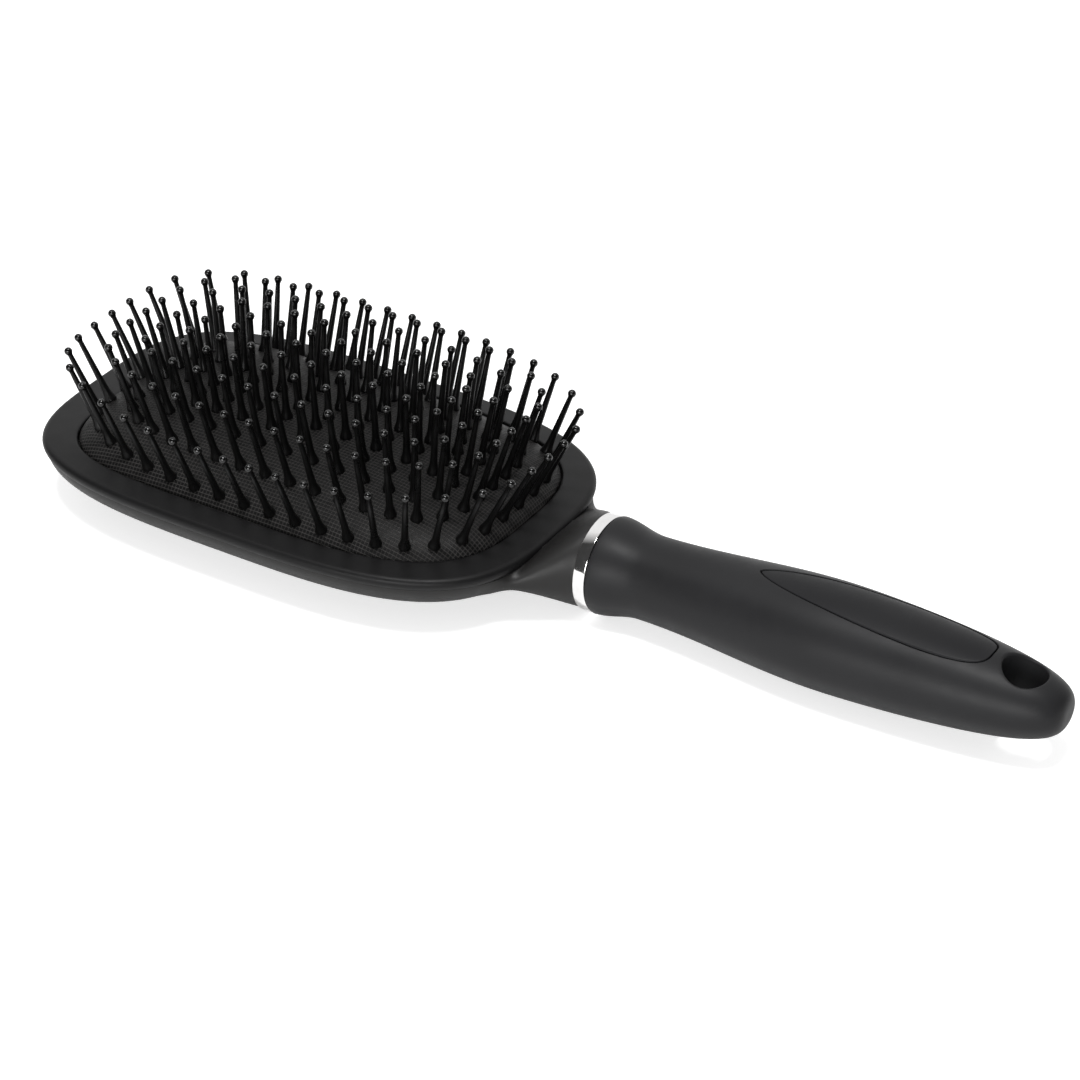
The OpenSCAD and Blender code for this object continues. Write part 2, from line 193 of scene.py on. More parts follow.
# the hanging hole and the thumb inlay
HOLE_RADIUS = 4.7
HOLE_BACK = 10.0
HOLE_X = HANDLE_END - HOLE_BACK
INLAY_START, INLAY_END = INLAY_LOW[0], INLAY_HIGH[0]
INLAY_WIDTH = INLAY_HIGH[1] - INLAY_LOW[1]
INLAY_PEAK, INLAY_POINT_EASE, INLAY_END_EASE = 0.68, 0.62, 0.28
# the groove around the inlay, and the round of its edge as (growth, rise)
GROOVE = 0.32
GROOVE_EDGE = ((0.0, -0.22), (0.05, -0.1), (0.16, 0.0), (0.6, 0.12))
INLAY_DEPTH = 1.6


def mix(a, b, share):
    return a + (b - a) * share


def ease(share):
    return 0.5 - 0.5 * np.cos(np.pi * share)


# Meshes
def new_object(name, verts, faces):
    mesh = bpy.data.meshes.new(name)
    mesh.from_pydata([tuple(v) for v in verts], [], faces)
    outward = bmesh.new()
    outward.from_mesh(mesh)
    bmesh.ops.recalc_face_normals(outward, faces=outward.faces)
    outward.to_mesh(mesh)
    outward.free()
    obj = bpy.data.objects.new(name, mesh)
    bpy.context.scene.collection.objects.link(obj)
    return obj


def loft(name, rings, loop=False):
    """Closed skin through rings of points, bottom first and anticlockwise seen from the end."""
    rings = [np.asarray(r, float) for r in rings]
    n, m = len(rings[0]), len(rings)
    verts = np.concatenate(rings)
    faces = []
    for k in range(m if loop else m - 1):
        k2 = (k + 1) % m
        for i in range(n):
            j = (i + 1) % n
            faces.append((k * n + i, k * n + j, k2 * n + j, k2 * n + i))
    if not loop:
        faces.append(tuple(reversed(range(n))))
        faces.append(tuple((m - 1) * n + i for i in range(n)))
    return new_object(name, verts, faces)


def lathe(name, profile, count):
    """Hollow turned solid about +X through the ring's axis, from a loop of (x, radius) pairs."""
    angle = np.arange(count) / count * 2 * np.pi
    rings = [np.stack([np.full(count, x), r * np.cos(angle), AXIS + r * np.sin(angle)], 1)
             for x, r in profile]
    return loft(name, rings, loop=True)


def settle(piece):
    """Bakes the modifiers of a piece into its mesh."""
    graph = bpy.context.evaluated_depsgraph_get()
    mesh = bpy.data.meshes.new_from_object(piece.evaluated_get(graph))
    piece.modifiers.clear()
    piece.data = mesh


def carve(piece, cutter):
    """Takes a cutter away from a piece, and removes the cutter."""
    modifier = piece.modifiers.new("carve", "BOOLEAN")
    modifier.object = cutter
    modifier.operation = "DIFFERENCE"
    modifier.solver = "EXACT"
    settle(piece)
    bpy.data.objects.remove(cutter)


def place(piece, body, slot, nodes, sharp):
    """Brings a finished piece to metres, smooths its shading, and puts it on its body."""
    piece.data.transform(Matrix.Scale(MM, 4))
    piece.data.polygons.foreach_set("use_smooth", [True] * len(piece.data.polygons))
    piece.data.set_sharp_from_angle(angle=math.radians(sharp))
    piece.data.materials.clear()
    piece.data.materials.append(MATERIALS[slot])
    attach(piece, body)
    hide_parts(*nodes)


# Outlines seen from above
def outline(half_l, half_w, shift, tip_n, neck_n, count):
    """Rounded oblong whose two ends have a squareness of their own."""
    angle = np.arange(count) / count * 2 * np.pi
    c, s = np.cos(angle), np.sin(angle)
    n = np.where(c < 0, tip_n, neck_n)
    r = ((np.abs(c) / half_l) ** n + (np.abs(s) / half_w) ** n) ** (-1 / n)
    return np.stack([shift + r * c, r * s], 1)


AROUND = 288


def head_outline(inset, count=AROUND):
    return outline(HEAD_LENGTH / 2 - inset, HEAD_WIDTH / 2 - inset, 0, TIP_N, NECK_N, count)


def opening_outline(grow, share=1.0):
    return outline((OPENING_LENGTH / 2 + grow) * share, (OPENING_WIDTH / 2 + grow) * share, OPENING_SHIFT,
                   OPEN_TIP_N, OPEN_NECK_N, AROUND)


def raised(points, z):
    return np.column_stack([points, np.broadcast_to(z, len(points))])


def reach(points, length_share, width_share):
    """Place of points between the pad's middle (0) and an outline like the opening's (1)."""
    x = points[:, 0] - OPENING_SHIFT
    n = np.where(x < 0, OPEN_TIP_N, OPEN_NECK_N)
    across = (np.abs(x) / (OPENING_LENGTH / 2 * length_share)) ** n
    along = (np.abs(points[:, 1]) / (OPENING_WIDTH / 2 * width_share)) ** n
    return np.minimum((across + along) ** (1 / n), 1)


def crown(points):
    """Height of the rubber's upper face."""
    dome = 1 - reach(points, CROWN_LENGTH_SHARE, CROWN_WIDTH_SHARE) ** CROWN_POWER
    edge = 1 - reach(points, 1, 1) ** EDGE_POWER
    return MARGIN + CROWN * dome ** CROWN_EASE * edge ** EDGE_EASE


# Materials
def ramp(tree, source, stops):
    made = tree.nodes.new("ShaderNodeValToRGB")
    while len(made.color_ramp.elements) < len(stops):
        made.color_ramp.elements.new(0.5)
    for element, (position, value) in zip(made.color_ramp.elements, stops):
        element.position = position
        element.color = (*value, 1) if isinstance(value, tuple) else (value, value, value, 1)
    tree.links.new(source, made.inputs[0])
    return made.outputs[0]


def base_material(name):
    material = bpy.data.materials.new(name)
    material.use_nodes = True
    tree = material.node_tree
    shader = tree.nodes["Principled BSDF"]
    coords = tree.nodes.new("ShaderNodeTexCoord")
    return material, tree, shader, coords.outputs["Object"]


def noise(tree, coords, per_mm, detail, roughness=0.5):
    made = tree.nodes.new("ShaderNodeTexNoise")
    made.inputs["Scale"].default_value = per_mm / MM
    made.inputs["Detail"].default_value = detail
    made.inputs["Roughness"].default_value = roughness
    tree.links.new(coords, made.inputs["Vector"])
    return made.outputs["Fac"]


def bump(tree, shader, height, distance_mm, strength, before=None):
    made = tree.nodes.new("ShaderNodeBump")
    made.inputs["Distance"].default_value = distance_mm * MM
    made.inputs["Strength"].default_value = strength
    tree.links.new(height, made.inputs["Height"])
    if before:
        tree.links.new(before, made.inputs["Normal"])
    tree.links.new(made.outputs[0], shader.inputs["Normal"])
    return made.outputs[0]


def plastic(name, dark, light, rough, grain_mm, grain_depth, specular):
    """Moulded plastic or soft-touch paint: mottled colour, uneven gloss and a fine moulded grain."""
    material, tree, shader, coords = base_material(name)
    cloud = noise(tree, coords, 0.06, 4)
    tree.links.new(ramp(tree, cloud, [(0.3, dark), (0.7, light)]), shader.inputs["Base Color"])
    patch = noise(tree, coords, 0.25, 5, 0.6)
    tree.links.new(ramp(tree, patch, [(0.3, rough[0]), (0.72, rough[1])]), shader.inputs["Roughness"])
    shader.inputs["Specular IOR Level"].default_value = specular
    grain = noise(tree, coords, 1 / grain_mm, 2)
    bump(tree, shader, grain, grain_depth, 0.6)
    return material


def mesh_rubber():
    """Rubber with a moulded mesh of fine raised threads that follow its surface; the threads' tops are
    painted lighter as a highlight and the ground between them painted near black as shade.
    """
    material, tree, shader, coords = base_material("cushion")
    spread = tree.nodes.new("ShaderNodeUVMap")
    spread.uv_map = "threads"
    split = tree.nodes.new("ShaderNodeSeparateXYZ")
    tree.links.new(spread.outputs[0], split.inputs[0])

    def wave(axis):
        scaled = tree.nodes.new("ShaderNodeMath")
        scaled.operation = "MULTIPLY"
        scaled.inputs[1].default_value = 2 * math.pi * THREAD_SPAN / MESH_PITCH
        tree.links.new(split.outputs[axis], scaled.inputs[0])
        cosine = tree.nodes.new("ShaderNodeMath")
        cosine.operation = "COSINE"
        tree.links.new(scaled.outputs[0], cosine.inputs[0])
        return cosine.outputs[0]

    both = tree.nodes.new("ShaderNodeMath")
    both.operation = "MAXIMUM"
    # the threads along Y are stronger than those along X, in their bump and in their painted highlight
    # alike
    for number, (axis, strength) in enumerate((("X", 0.7), ("Y", 1.0))):
        tree.links.new(ramp(tree, wave(axis), [(0.6, 0.0), (0.97, strength)]), both.inputs[number])
    thread_and_sheen = both.outputs[0]
    # painted light: near black on the ground between the threads as painted shade, lighter on their tops as
    # a painted highlight
    tree.links.new(ramp(tree, thread_and_sheen, [(0.0, (0.002, 0.002, 0.002)), (1.0, (0.028, 0.0265, 0.0255))]),
                   shader.inputs["Base Color"])
    patch = noise(tree, coords, 0.5, 4)
    tree.links.new(ramp(tree, patch, [(0.3, 0.42), (0.7, 0.56)]), shader.inputs["Roughness"])
    shader.inputs["Specular IOR Level"].default_value = 0.16
    grain = noise(tree, coords, 6.0, 2)
    fine = bump(tree, shader, grain, 0.02, 0.5)
    bump(tree, shader, thread_and_sheen, 0.14, 0.7, before=fine)
    return material


def chrome():
    material, tree, shader, coords = base_material("ring")
    shader.inputs["Metallic"].default_value = 1.0
    cloud = noise(tree, coords, 0.3, 3)
    tree.links.new(ramp(tree, cloud, [(0.3, (0.78, 0.77, 0.76)), (0.7, (0.86, 0.86, 0.86))]),
                   shader.inputs["Base Color"])
    patch = noise(tree, coords, 1.2, 5, 0.6)
    tree.links.new(ramp(tree, patch, [(0.3, 0.05), (0.75, 0.12)]), shader.inputs["Roughness"])
    bump(tree, shader, noise(tree, coords, 2.0, 2), 0.01, 0.15)
    return material


# material: darker and lighter colour, least and most roughness, size and depth of the grain (mm), specular
PLASTICS = {
    "shell": ((0.008, 0.0077, 0.0075), (0.0098, 0.0095, 0.0093), (0.42, 0.5), 0.16, 0.01, 0.3),
    "rim": ((0.0045, 0.0044, 0.0046), (0.006, 0.0059, 0.0061), (0.4, 0.48), 0.16, 0.01, 0.16),
    "pins": ((0.002, 0.002, 0.002), (0.0032, 0.0031, 0.0031), (0.26, 0.34), 0.5, 0.004, 0.2),
    "tips": ((0.002, 0.002, 0.002), (0.0032, 0.0031, 0.0031), (0.1, 0.14), 0.5, 0.002, 0.45),
    "core": ((0.04, 0.04, 0.042), (0.055, 0.055, 0.057), (0.5, 0.6), 0.3, 0.02, 0.5),
    "grip": ((0.012, 0.012, 0.0128), (0.0145, 0.0145, 0.0155), (0.4, 0.48), 0.12, 0.012, 0.16),
    "inlay": ((0.0095, 0.0095, 0.0105), (0.0115, 0.0115, 0.0125), (0.42, 0.5), 0.12, 0.012, 0.13),
}
MATERIALS = {name: plastic(name, *look) for name, look in PLASTICS.items()}
MATERIALS["cushion"] = mesh_rubber()
MATERIALS["ring"] = chrome()


# Head
def tuck_at(share):
    """Inset of the rim's side at a share of the height of its straight part."""
    return RIM_TUCK * (1 - share) ** TUCK_POWER


def make_rim():
    """The rim: round its foot, side, shoulder and land, then over its inner edge and back under."""
    pocket = opening_outline(FLANGE_WIDTH + POCKET_ROOM)
    inner = opening_outline(0)
    shoulder = head_outline(RIM_ROUND)
    rings = [raised(pocket, PARTING)]
    for back, rise in RIM_FOOT:
        rings.append(raised(head_outline(RIM_TUCK + back), PARTING + rise))
    straight = RIM_SIDE - RIM_ROUND
    side_steps, land_steps = 12, 13
    for k in range(2, side_steps):
        share = k / side_steps
        rings.append(raised(head_outline(tuck_at(share)), PARTING + straight * share))
    for k in range(side_steps + 1):
        angle = math.radians(90 * k / side_steps)
        rings.append(raised(head_outline(RIM_ROUND * (1 - math.cos(angle))),
                            RIM_HEIGHT - RIM_ROUND * (1 - math.sin(angle))))
    for k in range(1, land_steps + 1):
        share = LAND_SHARE * k / land_steps
        rings.append(raised(mix(shoulder, inner, share), RIM_HEIGHT + RIM_RISE * share))
    top = RIM_HEIGHT + RIM_RISE * LAND_SHARE
    for angle in (20, 40, 60, 80, 90):
        a = math.radians(angle)
        rings.append(raised(opening_outline(INNER_ROUND * (1 - math.sin(a))),
                            top - INNER_ROUND * (1 - math.cos(a))))
    rings += [raised(inner, FLANGE_TOP), raised(pocket, FLANGE_TOP)]
    piece = loft("rim_frame_skin", rings, loop=True)
    place(piece, "body", "rim", ["rim_frame"], sharp=50)


def bowl_rings(inset, depth, steps, count):
    """Rings of the shell's curled bowl, from its keel up to the parting."""
    rings = []
    for k in range(steps, -1, -1):
        angle = math.radians(90 * k / steps)
        rings.append(raised(head_outline(inset + BACK_CURL * (1 - math.cos(angle)), count),
                            PARTING - depth * math.sin(angle)))
    return rings


def oval_ring(x, half_w, low, high, count):
    angle = np.arange(count) / count * 2 * np.pi
    return np.stack([np.full(count, x), half_w * np.cos(angle),
                     (low + high) / 2 + (high - low) / 2 * np.sin(angle)], 1)


NECK_FOOT = HEAD_LENGTH / 2 + PARTING_STEP
NECK_ROOT = NECK_FOOT - BACK_CURL * NECK_ROOT_SHARE


def neck_top(x):
    """Height of the neck's upper line, which dives under the rim."""
    under = np.clip((x - NECK_ROOT) / (NECK_FOOT - NECK_ROOT), 0, 1)
    near = np.clip((RING_START - x) / (RING_START - NECK_FOOT), 0, 1)
    foot = PARTING - NECK_COVER * (2 - under)
    return foot + (AXIS + NECK_RADIUS - PARTING + NECK_COVER) * (1 - near ** NECK_TOP_POWER)


def neck_sizes(x):
    """Half width, lowest and highest point of the neck's section, for an array of places."""
    share = np.clip((RING_START - x) / (RING_START - NECK_ROOT), 0, None)
    return (NECK_RADIUS + NECK_FLARE * share, AXIS - NECK_RADIUS + NECK_RISE * share ** NECK_RISE_POWER,
            neck_top(x))


# Fields: zero on a surface, negative within, for an array of places
def wall_field(p, inset=SHELL_INSET):
    """The head's outline as an upright wall."""
    n = np.where(p[:, 0] < 0, TIP_N, NECK_N)
    across = (np.abs(p[:, 0]) / (HEAD_LENGTH / 2 - inset)) ** n
    along = (np.abs(p[:, 1]) / (HEAD_WIDTH / 2 - inset)) ** n
    return ((across + along) ** (1 / n) - 1) * HEAD_WIDTH / 2


def bowl_field(p):
    """The curled bowl, whose depth stops just short of 1 to keep its slope finite."""
    depth = np.clip((PARTING - p[:, 2]) / PARTING, 0, 0.9995)
    return wall_field(p, SHELL_INSET + BACK_CURL * (1 - np.sqrt(1 - depth ** 2)))


def oval_field(p, half_w, low, high, n):
    """An oval trunk along X, squarer as n rises."""
    up = np.abs((p[:, 2] - (low + high) / 2) / ((high - low) / 2))
    return ((np.abs(p[:, 1] / half_w) ** n + up ** n) ** (1 / n) - 1) * NECK_RADIUS


def neck_field(p):
    return oval_field(p, *neck_sizes(p[:, 0]), 2)


def web_field(p):
    """The web, which widens up to its end inside the head and levels out above and below at the rim."""
    along = np.clip((RING_START - p[:, 0]) / (RING_START - NECK_FOOT), 0, None)
    out = np.minimum(along, WEB_END)
    half_w = NECK_RADIUS + WEB_WIDTH * out ** WEB_WIDTH_POWER - WEB_WIDTH * (along - out)
    share = np.clip((along + WEB_LEVEL - np.hypot(along - WEB_LEVEL, WEB_EASE)) / 2, 0, None)
    low = AXIS - NECK_RADIUS + WEB_RISE * share ** WEB_RISE_POWER
    foot = PARTING + WEB_STEP
    high = foot + (AXIS + NECK_RADIUS - foot) * (1 - share ** WEB_TOP_POWER)
    return oval_field(p, half_w, low, high, 2 + WEB_BOX * share)


def slope(field, p):
    """Gradient of a field, from small steps along each axis."""
    step = 0.02
    grad = np.zeros_like(p)
    for axis in range(3):
        move = np.zeros(3)
        move[axis] = step
        grad[:, axis] = (field(p + move) - field(p - move)) / (2 * step)
    return grad


def distance(field, p):
    """Nearly the distance in millimetres to a field's surface."""
    return field(p) / np.maximum(np.linalg.norm(slope(field, p), axis=1), LEAST_SLOPE)


def blend(a, b, fillet):
    """Union of two fields with a rounded inner corner."""
    near = np.maximum(fillet - np.abs(a - b), 0) / fillet
    return np.minimum(a, b) - near ** 2 * fillet / 4


def shell_field(p):
    """Bowl, neck and web, joined by fillets that grow towards the neck."""
    x = p[:, 0]
    z = p[:, 2]
    bowl = np.maximum.reduce([distance(bowl_field, p), distance(wall_field, p), z - PARTING - STUB])
    neck = np.maximum(distance(neck_field, p), NECK_ROOT + 1 - x)
    web = np.maximum(distance(web_field, p), NECK_FOOT - WEB_INSIDE - x)
    growth = ease(np.clip((x - NECK_ROOT - NECK_FADE[0]) / (NECK_FOOT - NECK_ROOT - NECK_FADE[1]), 0, 1))
    near_ring = np.clip((RING_START - x) / WEB_FADE, 0, 1)
    trunk = blend(neck, web, LEAST_FILLET + WEB_FILLET * growth * near_ring)
    under_rim = ease(np.clip((PARTING + TOP_FADE[0] - z) / TOP_FADE[1], 0, 1))
    over_keel = ease(np.clip((z - KEEL_FADE[0]) / KEEL_FADE[1], 0, 1))
    return blend(bowl, trunk, LEAST_FILLET + NECK_FILLET * growth * under_rim * over_keel)


def solid_field(p):
    """The joined surface, closed past the ring and below the keel."""
    return np.maximum.reduce([shell_field(p), p[:, 0] - RING_START - STUB, -p[:, 2]])


# Shell
def net(field, low, high, pitch):
    """Closed skin where a field is zero, with one point in each cell of an even grid that it crosses."""
    axes = [np.arange(a, b + pitch, pitch) for a, b in zip(low, high)]
    shape = tuple(len(a) for a in axes)
    corners = np.stack(np.meshgrid(*axes, indexing="ij"), -1).reshape(-1, 3)
    values = field(corners).reshape(shape)
    corners = corners.reshape(shape + (3,))
    number = np.arange(values.size).reshape(shape)
    total, count, faces = np.zeros((values.size, 3)), np.zeros(values.size), []
    for axis in range(3):
        near = tuple(slice(0, -1) if k == axis else slice(1, None) for k in range(3))
        far = (slice(1, None),) * 3
        a, b = values[near], values[far]
        cut = (a < 0) != (b < 0)
        share = (a[cut] / (a[cut] - b[cut]))[:, None]
        at = corners[near][cut] + share * (corners[far][cut] - corners[near][cut])
        first = number[near][cut]
        # the four cells around each crossed edge share it, and make one face
        second, third = (int(np.prod(shape[k + 1:])) for k in range(3) if k != axis)
        cells = np.stack([first, first - second, first - second - third, first - third], 1)
        for k in range(4):
            np.add.at(total, cells[:, k], at)
            np.add.at(count, cells[:, k], 1)
        faces.append(cells)
    cells, faces = np.unique(np.concatenate(faces), return_inverse=True)
    points = total[cells] / count[cells][:, None]
    return points, faces.reshape(-1, 4)


def onto_shell(points, over):
    """Points brought exactly onto the joined surface, apart from the flat back and the two flat ends."""
    x, z = points[:, 0], points[:, 2]
    skin = (z > KEEL_EDGE) & (x < RING_START + over) & ((z < PARTING + over) | (x > NECK_FOOT + PAST_RIM))
    p = points[skin]
    longest = 0.1
    for _ in range(2):
        grad = slope(shell_field, p)
        step = (shell_field(p) / np.maximum((grad ** 2).sum(1), 0.2))[:, None] * grad
        length = np.maximum(np.linalg.norm(step, axis=1), 1e-9)
        p = p - step * np.minimum(1, longest / length)[:, None]
    points[skin] = p
    points[:, 2] = np.maximum(points[:, 2], 0)
    return points


def make_shell():
    """The back shell in one skin, less the rim's seat, the part past the ring and the hollow inside."""
    points, faces = net(solid_field, (RIM_LOW[0] - 1, RIM_LOW[1] - 1, GRID_FOOT),
                        (RING_START + STUB + 1, RIM_HIGH[1] + 1, AXIS + NECK_RADIUS + 1), SKIN_PITCH)
    piece = new_object("back_shell_skin", onto_shell(points, STUB - 1), [tuple(f) for f in faces.tolist()])
    steps = 8
    rings = []
    for k in range(steps + 1):
        rings.append(raised(head_outline(tuck_at(k / steps) - SEAT_GAP),
                            PARTING + (RIM_SIDE - RIM_ROUND) * k / steps - LID_GAP))
    carve(piece, loft("lid", rings + [raised(head_outline(-SEAT_GAP), PARTING + 2 * STUB)]))
    end = oval_ring(0, 3 * RING_RADIUS, -RING_RADIUS, 3 * RING_RADIUS, 96)
    carve(piece, loft("stop", [end + [RING_START, 0, 0], end + [RING_START + 2 * STUB, 0, 0]]))
    inset, count = RIM_TUCK + SHELL_WALL, 144
    hollow = bowl_rings(inset, PARTING - SHELL_WALL, 12, count)
    carve(piece, loft("hollow", hollow + [raised(head_outline(inset, count), PARTING + 1)]))
    place(piece, "body", "shell", ["back_shell"], sharp=40)


# Cushion
def surface_run(points, axis):
    """Distance over the rubber from the middle line to each point, along one axis."""
    steps = 48
    total = np.zeros(len(points))
    last = points.copy()
    last[:, axis] = 0
    for k in range(1, steps + 1):
        now = points.copy()
        now[:, axis] = points[:, axis] * k / steps
        total += np.hypot(now[:, axis] - last[:, axis], crown(now) - crown(last))
        last = now
    return total * np.sign(points[:, axis])


def lay_threads(mesh):
    """Texture coordinates that run over the surface, so that the threads stay evenly apart."""
    points = np.array([v.co[:2] for v in mesh.vertices], float)
    run = np.stack([surface_run(points, 0), surface_run(points, 1)], 1) / THREAD_SPAN + 0.5
    corners = np.zeros(len(mesh.loops), int)
    mesh.loops.foreach_get("vertex_index", corners)
    layer = mesh.uv_layers.new(name="threads")
    layer.data.foreach_set("uv", run[corners].reshape(-1))


def make_cushion():
    """The hollow pad: its underside, its flange, and its upper face with closer rings towards the edge."""
    innermost, count = 0.03, 56
    shares = np.sin(np.linspace(innermost, 1, count) * np.pi / 2)[::-1]
    top = [opening_outline(-PAD_GAP, s) for s in shares]
    under = [opening_outline(-PAD_GAP - PAD_WALL, s) for s in shares[::3]]
    rings = [raised(r, crown(r) - PAD_WALL) for r in under[::-1]]
    rings += [raised(opening_outline(-PAD_GAP - PAD_WALL), PARTING + SKIN_GAP),
              raised(opening_outline(FLANGE_WIDTH - SEAT_GAP), PARTING + SKIN_GAP),
              raised(opening_outline(FLANGE_WIDTH - SEAT_GAP), FLANGE_TOP - SKIN_GAP),
              raised(opening_outline(-PAD_GAP), FLANGE_TOP - SKIN_GAP)]
    rings += [raised(r, crown(r)) for r in top]
    piece = loft("cushion_skin", rings)
    lay_threads(piece.data)
    place(piece, "body", "cushion", ["cushion_pad"], sharp=45)
    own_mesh(piece)


# Pins
PIN_LENGTH = 16.0
BALL = 0.9
# (height over the rubber, radius), from the root under the rubber to the neck of the ball
PIN_PROFILE = [(-1.2, 0.6), (-0.05, 0.62), (0.0, 1.2), (0.12, 1.38), (0.4, 1.36), (0.9, 1.22), (1.6, 1.02),
               (2.5, 0.86), (3.6, 0.78), (8.0, 0.68), (12.5, 0.59), (15.0, 0.54)]


def islands(mesh):
    """Points of each separate solid in a mesh."""
    parent = list(range(len(mesh.vertices)))

    def root(i):
        while parent[i] != i:
            parent[i] = parent[parent[i]]
            i = parent[i]
        return i

    co = np.array([v.co for v in mesh.vertices], float).reshape(-1, 3) / MM
    same = {}
    for i, c in enumerate(np.round(co, 3)):
        key = tuple(c)
        if key in same:
            parent[root(i)] = root(same[key])
        same[key] = i
    for e in mesh.edges:
        a, b = root(e.vertices[0]), root(e.vertices[1])
        if a != b:
            parent[a] = b
    groups = {}
    for i in range(len(co)):
        groups.setdefault(root(i), []).append(i)
    return [np.unique(np.round(co[g], 4), axis=0) for g in groups.values()]


def pin_axis(points):
    """Middle of the ball and the direction of a pin, from its solid's points."""
    middle = (points.max(0) + points.min(0)) / 2
    direction = np.linalg.svd(points - points.mean(0))[2][0]
    if direction[2] < 0:
        direction = -direction
    for _ in range(3):
        along = (points - middle) @ direction
        top = points[along > along.max() - 2 * BALL]
        low = points[along < along.min() + 0.5 * BALL]
        tip = (top.max(0) + top.min(0)) / 2
        foot = (low.max(0) + low.min(0)) / 2
        direction = (tip - foot) / np.linalg.norm(tip - foot)
        middle = tip
    along = (points - middle) @ direction
    return middle + direction * (along.max() - BALL), direction


def make_pins(node_name, body):
    """Smooth pins on the axes of a node's own pins, with shinier balls."""
    count = 24
    angle = np.arange(count) / count * 2 * np.pi
    profile = list(PIN_PROFILE)
    start = math.asin(PIN_PROFILE[-1][1] / BALL)
    steps = 12
    for k in range(1, steps):
        a = math.pi - start - (math.pi - start) * k / steps
        profile.append((PIN_LENGTH + BALL * math.cos(a), BALL * math.sin(a)))
    verts, faces = [], []
    pins = islands(frame["nodes"][node_name].data)
    for points in pins:
        tip, direction = pin_axis(points)
        foot = tip - direction * PIN_LENGTH
        side = np.cross(direction, [0, 1, 0])
        side /= np.linalg.norm(side)
        other = np.cross(direction, side)
        base = len(verts)
        for z, r in profile:
            for a in angle:
                verts.append(foot + direction * z + side * r * math.cos(a) + other * r * math.sin(a))
        rings = len(profile)
        for k in range(rings - 1):
            for i in range(count):
                j = (i + 1) % count
                faces.append((base + k * count + i, base + k * count + j,
                              base + (k + 1) * count + j, base + (k + 1) * count + i))
        verts.append(foot + direction * (PIN_LENGTH + BALL))
        peak = len(verts) - 1
        last = base + (rings - 1) * count
        for i in range(count):
            faces.append((last + i, last + (i + 1) % count, peak))
        faces.append(tuple(base + i for i in reversed(range(count))))
    piece = new_object(node_name + "_skin", verts, faces)
    place(piece, body, "pins", [node_name], sharp=60)
    piece.data.materials.append(MATERIALS["tips"])
    per_pin = len(faces) // len(pins)
    first_tip = count * len(PIN_PROFILE)
    shiny = [int(first_tip <= f % per_pin < per_pin - 1) for f in range(len(faces))]
    piece.data.polygons.foreach_set("material_index", shiny)


# Ring and handle
def make_ring():
    """The ring, whose outer edges are softened by quarter rounds."""
    soft = 0.18
    low, high, steps = RING_LOW[0], RING_HIGH[0], 5
    profile = [(low, RING_BORE), (low, RING_RADIUS - soft)]
    for k in range(1, steps + 1):
        a = math.radians(90 * k / steps)
        profile.append((low + soft - soft * math.cos(a), RING_RADIUS - soft + soft * math.sin(a)))
    for k in range(steps):
        a = math.radians(90 * k / steps)
        profile.append((high - soft + soft * math.sin(a), RING_RADIUS - soft + soft * math.cos(a)))
    profile += [(high, RING_RADIUS - soft), (high, RING_BORE)]
    piece = lathe("chrome_ring_skin", profile, 192)
    place(piece, "body", "ring", ["chrome_ring"], sharp=45)


def handle_radius(x):
    """Half height of the handle at a distance from the ring."""
    if x < WAIST_REACH:
        return mix(FRONT_RADIUS, WAIST_RADIUS, ease(x / WAIST_REACH))
    if x < BELLY_REACH:
        return mix(WAIST_RADIUS, BELLY_RADIUS, ease((x - WAIST_REACH) / (BELLY_REACH - WAIST_REACH)))
    share = min((x - BELLY_REACH) / (HANDLE_LENGTH - BELLY_REACH), 1.0)
    return BELLY_RADIUS * (1 - share ** TAIL_POWER) ** TAIL_EASE


def handle_middle(x):
    share = x / HANDLE_LENGTH
    return AXIS + HANDLE_LIFT * share * (2 - share)


def handle_oval(x):
    return 1 + (OVAL_SHARE - 1) * ease(min(x / BELLY_REACH, 1))


def handle_section(x, r):
    middle = handle_middle(x)
    return oval_ring(RING_END + x, r * handle_oval(x), middle - r, middle + r, 160)


def handle_top(x, y):
    """Height of the handle's upper face at a place."""
    r = handle_radius(x - RING_END)
    half = r * handle_oval(x - RING_END)
    return handle_middle(x - RING_END) + r * math.sqrt(max(0.0, 1 - (y / half) ** 2))


def inlay_share(share):
    """Half width of the teardrop as a share of its widest place."""
    front = share < INLAY_PEAK
    near = share / INLAY_PEAK if front else (1 - share) / (1 - INLAY_PEAK)
    return max(0.0, 1 - (1 - near) ** 2) ** (INLAY_POINT_EASE if front else INLAY_END_EASE)


def teardrop(grow):
    """Outline of the inlay seen from above, pointed towards the ring."""
    count = 72
    sides = []
    for k in range(count + 1):
        share = math.sin(math.pi / 2 * k / count) ** 2
        x = mix(INLAY_START - grow, INLAY_END + grow, share)
        sides.append((x, (INLAY_WIDTH / 2 + grow) * inlay_share(share)))
    return np.array(sides + [(x, -w) for x, w in sides[-2:0:-1]])


def make_grip():
    """The grip: its round front edge, its even middle, and its tail with closer sections to the end."""
    rings = []
    front_steps, even_steps, tail_steps = 6, 129, 45
    for k in range(front_steps + 1):
        a = math.radians(90 * k / front_steps)
        x = SEAT_GAP + FRONT_ROUND * (1 - math.cos(a))
        rings.append(handle_section(x, handle_radius(x) - FRONT_ROUND * (1 - math.sin(a))))
    tail = HANDLE_LENGTH * TAIL_SHARE
    for k in range(1, even_steps + 1):
        x = mix(FRONT_ROUND + SEAT_GAP, tail, k / even_steps)
        rings.append(handle_section(x, handle_radius(x)))
    for k in range(1, tail_steps + 1):
        x = mix(tail, HANDLE_LENGTH - TAIL_CUT, math.sin(math.pi / 2 * k / tail_steps))
        rings.append(handle_section(x, handle_radius(x)))
    piece = loft("handle_grip_skin", rings)
    carve(piece, recess_cutter())
    carve(piece, hole_cutter())
    place(piece, "body", "grip", ["handle_grip"], sharp=35)


